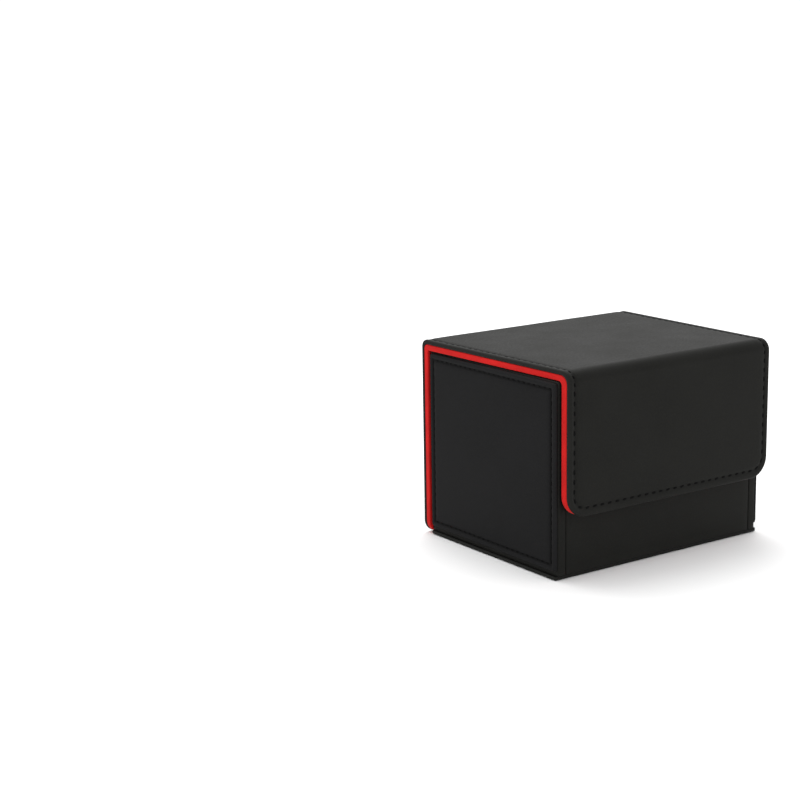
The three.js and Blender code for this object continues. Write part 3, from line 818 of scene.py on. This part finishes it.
def wall_leather(name, side):
    """A side wall's leather, an L seen from above: it folds round the front corner onto the front."""
    outside = -WALL_LOW[0]
    inside = -box_mm("left_wall_board")[1][0]
    front, rear = WALL_LOW[1], WALL_HIGH[1]
    outline = rounded([
        (side * outside, rear, 0.3),
        (side * inside, rear, 0.3),
        (side * inside, front + WALL_SKIN, 0),
        (side * STRIP_IN, front + WALL_SKIN, 0),
        (side * STRIP_IN, front, 0.45),
        (side * outside, front, 1.0),
    ])
    return prism(f"{name}_wall_leather", outline, WALL_LOW[2], WALL_HIGH[2], WALL_RIMS, upward, black,
                 5.5 + side, 0.04)


def front_wall_leather():
    """The front wall's leather. It steps back behind the strips, so that no board shows in the seams."""
    seam_in = STRIP_IN - SEAM_GAP
    seam_floor = FRONT_LOW[1] + WALL_SKIN + 0.04
    outline = rounded([
        (-seam_in, FRONT_LOW[1], 0.45),
        (seam_in, FRONT_LOW[1], 0.45),
        (seam_in, seam_floor, 0),
        (FRONT_HIGH[0], seam_floor, 0),
        (FRONT_HIGH[0], FRONT_HIGH[1], 0.3),
        (FRONT_LOW[0], FRONT_HIGH[1], 0.3),
        (FRONT_LOW[0], seam_floor, 0),
        (-seam_in, seam_floor, 0),
    ])
    return prism("front_wall_leather", outline, FRONT_LOW[2], FRONT_HIGH[2], WALL_RIMS, upward, black,
                 6.1)


on_box(base_leather(), "base_cover")
on_box(wall_leather("left", -1), "left_wall_cover")
on_box(wall_leather("right", 1), "right_wall_cover")
on_box(front_wall_leather(), "front_wall_cover")

# ---- the compartment's red lining ----


def lining_profile(thickness):
    radius, inner_radius, inner_grid = 0.4, 0.2, 3.0
    start = [(inner_grid, 0, 0), (radius + 0.8, 0, 0.1)]
    end = [(inner_radius + 0.8, thickness, 0), (inner_grid, thickness, 0)]
    return start + plate_rows(rounded_edge(0, radius, inner_radius, 3), thickness) + end


def lining(node, axis, outward):
    """A lining sheet on one wall: axis is the one across its thickness, and outward the side that shows."""
    low, high = box_mm(node)
    middle, size = (low + high) / 2, high - low
    others = [k for k in range(3) if k != axis]
    face = high[axis] if outward > 0 else low[axis]

    def place(a, b, depth):
        spot = [None, None, None]
        spot[axis] = face - outward * depth
        spot[others[0]], spot[others[1]] = middle[others[0]] + a, middle[others[1]] + b
        return np.stack(spot, -1)

    shape = Shape()
    plate(shape, size[others], 0.8, lining_profile(size[axis]), place, float(axis) + outward, 0.03, 5.0)
    return shape.build(node.replace("lining", "microfibre"), red)


def rear_lining():
    """The rear wall's lining, an upside-down L seen from the side: its top folds over the wall."""
    low, high = box_mm("rear_wall_lining")
    sheet_back = box_mm("rear_wall_board")[0][1] - 0.1
    turned = high[2] - 0.8
    outline = rounded([
        (low[1], low[2], 0.3),
        (sheet_back, low[2], 0.3),
        (sheet_back, turned, 0),
        (high[1], turned, 0.2),
        (high[1], high[2], 0.35),
        (low[1], high[2], 0.75),
    ])
    return prism("rear_wall_microfibre", outline, low[0], high[0], (0.25, 0.25), sideways, red,
                 8.8)


for node, axis, outward in (
    ("left_wall_lining", 0, 1),
    ("right_wall_lining", 0, -1),
    ("front_wall_lining", 1, 1),
    ("floor_lining", 2, 1),
):
    on_box(lining(node, axis, outward), node)
on_box(rear_lining(), "rear_wall_lining")

# ---- materials of the CAD nodes that stay ----

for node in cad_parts.values():
    if not node.hide_render:
        node.data.materials.clear()
        node.data.materials.append(nickel if "magnet" in node.name else board)

# ---- studio ----

FLOOR_HALF = 25.0  # so wide that its edge stays out of sight
FLOOR_DROP = 0.0003  # keeps it off the base's lower face
SKY_STRENGTH = 1.07


def add_floor():
    shape = bmesh.new()
    bmesh.ops.create_grid(shape, x_segments=12, y_segments=12, size=FLOOR_HALF)
    mesh = bpy.data.meshes.new("floor")
    shape.to_mesh(mesh)
    shape.free()
    floor = bpy.data.objects.new("floor", mesh)
    floor.location.z = -FLOOR_DROP
    bpy.context.scene.collection.objects.link(floor)
    paper = Nodes("floor_paper")
    tone = paper.mixed(paper.noise(paper.own_place(), 3), (0.95, 0.95, 0.95), (0.97, 0.97, 0.97))
    mesh.materials.append(paper.finish(Base_Color=tone, Roughness=0.9, Specular_IOR_Level=0.1))


def add_sky():
    world = bpy.data.worlds.new("studio")
    world.use_nodes = True
    sky = world.node_tree.nodes["Background"]
    sky.inputs["Color"].default_value = (1.0, 1.0, 1.0, 1)
    sky.inputs["Strength"].default_value = SKY_STRENGTH
    bpy.context.scene.world = world
    bpy.context.scene.view_settings.view_transform = "Standard"


def add_lamp(name, place, target, size, power):
    data = bpy.data.lights.new(name, "AREA")
    data.shape = "RECTANGLE"
    data.size, data.size_y = size
    data.energy = power
    made = bpy.data.objects.new(name, data)
    made.location = place
    made.rotation_euler = (Vector(target) - Vector(place)).to_track_quat("-Z", "Y").to_euler()
    bpy.context.scene.collection.objects.link(made)


def add_camera(place, yaw, pitch, roll, lens):
    """A camera at place that looks yaw to the right of +Y and pitch downwards, in degrees."""
    yaw, pitch, roll = math.radians(yaw), math.radians(pitch), math.radians(roll)
    ahead = Vector((math.sin(yaw) * math.cos(pitch), math.cos(yaw) * math.cos(pitch), -math.sin(pitch)))
    level_right = Vector((math.cos(yaw), -math.sin(yaw), 0))
    level_up = level_right.cross(ahead)
    right = level_right * math.cos(roll) + level_up * math.sin(roll)
    up = right.cross(ahead)
    data = bpy.data.cameras.new("camera")
    data.sensor_width = 36.0
    data.lens = lens
    camera = bpy.data.objects.new("camera", data)
    turned = Matrix((right, up, -ahead)).transposed().to_4x4()
    camera.matrix_world = Matrix.Translation(place) @ turned
    bpy.context.scene.collection.objects.link(camera)
    bpy.context.scene.camera = camera


add_floor()
add_sky()
add_lamp("top_softbox", (0.1, 0.35, 0.9), (0, 0, 0.05), (0.9, 0.7), 6.0)
add_camera((-0.5412, -0.6197, 0.2473), yaw=34.663, pitch=12.43, roll=-1.019, lens=79.5)
